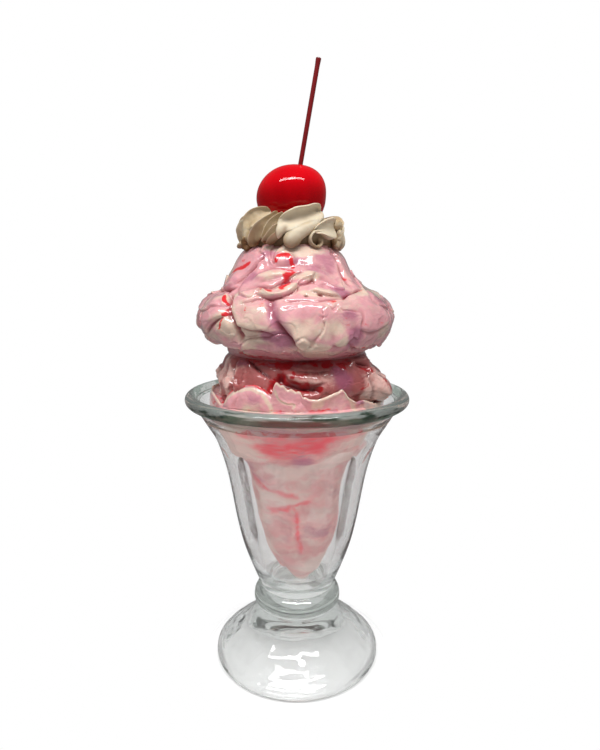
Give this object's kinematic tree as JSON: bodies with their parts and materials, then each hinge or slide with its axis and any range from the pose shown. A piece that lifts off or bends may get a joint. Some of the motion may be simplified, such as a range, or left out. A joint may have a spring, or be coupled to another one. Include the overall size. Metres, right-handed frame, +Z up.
{
  "type": "display ice cream sundae",
  "caption": "Display sundae: two folded, glazed scoops with piped cream and a stemmed cherry, standing in a footed tulip glass.",
  "frame": {"origin": "middle of the flat ring that the glass foot stands on", "axes": "+Z up along the axis of the glass, -Y towards the front, +X to the right seen from the front"},
  "size_m": [0.0948, 0.095, 0.2541],
  "materials": {
    "glass": "pressed clear glass with a faint green tint",
    "ice_cream": "marbled pink, cream and mauve under a clear varnish",
    "whipped_cream": "matt piped silicone, warm cream colour",
    "cherry": "polished moulded plastic",
    "cherry_stem": "smooth dark red rod"
  },
  "bodies": {
    "root": {"glass": "glass", "ice_cream_filling": "ice_cream", "scoop_lower": "ice_cream", "scoop_upper": "ice_cream", "whipped_cream": "whipped_cream", "cherry": "cherry", "cherry_stem": "cherry_stem"}
  },
  "joints": []
}
